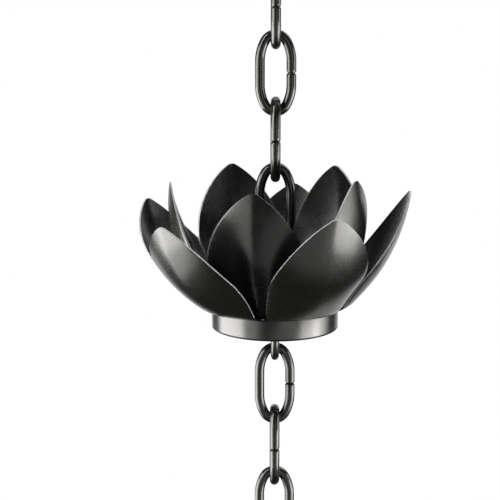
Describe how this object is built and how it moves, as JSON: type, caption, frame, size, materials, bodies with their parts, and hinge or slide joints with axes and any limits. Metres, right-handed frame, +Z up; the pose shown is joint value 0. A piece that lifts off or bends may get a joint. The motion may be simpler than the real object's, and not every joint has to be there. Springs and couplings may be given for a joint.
{
  "type": "rain chain section",
  "caption": "Section of hanging rain chain: oval wire links above and below a layered lotus-flower cup that guides roof water down to the ground.",
  "frame": {"origin": "inside top of the uppermost link's eye, where the hook bears", "axes": "+Z up along the hanging chain, -Y to the front as pictured, +X to the right seen from the front"},
  "size_m": [0.136, 0.1417, 0.2943],
  "materials": {
    "chain_wire": "satin black",
    "cup_sheet": "satin black",
    "ring_band": "satin black, a little glossier"
  },
  "bodies": {
    "upper_link_1": {"upper_link_1": "chain_wire"},
    "upper_link_2": {"upper_link_2": "chain_wire"},
    "upper_link_3": {"upper_link_3": "chain_wire"},
    "upper_link_4": {"upper_link_4": "chain_wire"},
    "cup": {"hanger_loop": "chain_wire", "cross_strap": "ring_band", "base_ring": "ring_band", "outer_petals": "cup_sheet", "inner_petals": "cup_sheet"},
    "lower_link_1": {"lower_link_1": "chain_wire"},
    "lower_link_2": {"lower_link_2": "chain_wire"},
    "lower_link_3": {"lower_link_3": "chain_wire"}
  },
  "joints": [
    {"name": "upper_link_2_swing", "type": "hinge", "parent": "upper_link_1", "child": "upper_link_2", "pos_m": [0, 0, -0.0348], "axis": [0, 1, 0], "range_deg": [-60, 60]},
    {"name": "upper_link_3_swing", "type": "hinge", "parent": "upper_link_2", "child": "upper_link_3", "pos_m": [0, 0, -0.0671], "axis": [1, 0, 0], "range_deg": [-60, 60]},
    {"name": "upper_link_4_swing", "type": "hinge", "parent": "upper_link_3", "child": "upper_link_4", "pos_m": [0, 0, -0.0994], "axis": [0, 1, 0], "range_deg": [-60, 60]},
    {"name": "cup_swing", "type": "hinge", "parent": "upper_link_4", "child": "cup", "pos_m": [0, 0, -0.1317], "axis": [1, 0, 0], "range_deg": [-45, 45]},
    {"name": "lower_link_1_swing", "type": "hinge", "parent": "cup", "child": "lower_link_1", "pos_m": [0, 0, -0.1898], "axis": [0, 1, 0], "range_deg": [-75, 75]},
    {"name": "lower_link_2_swing", "type": "hinge", "parent": "lower_link_1", "child": "lower_link_2", "pos_m": [0, 0, -0.2225], "axis": [1, 0, 0], "range_deg": [-75, 75]},
    {"name": "lower_link_3_swing", "type": "hinge", "parent": "lower_link_2", "child": "lower_link_3", "pos_m": [0, 0, -0.2548], "axis": [0, 1, 0], "range_deg": [-75, 75]}
  ]
}
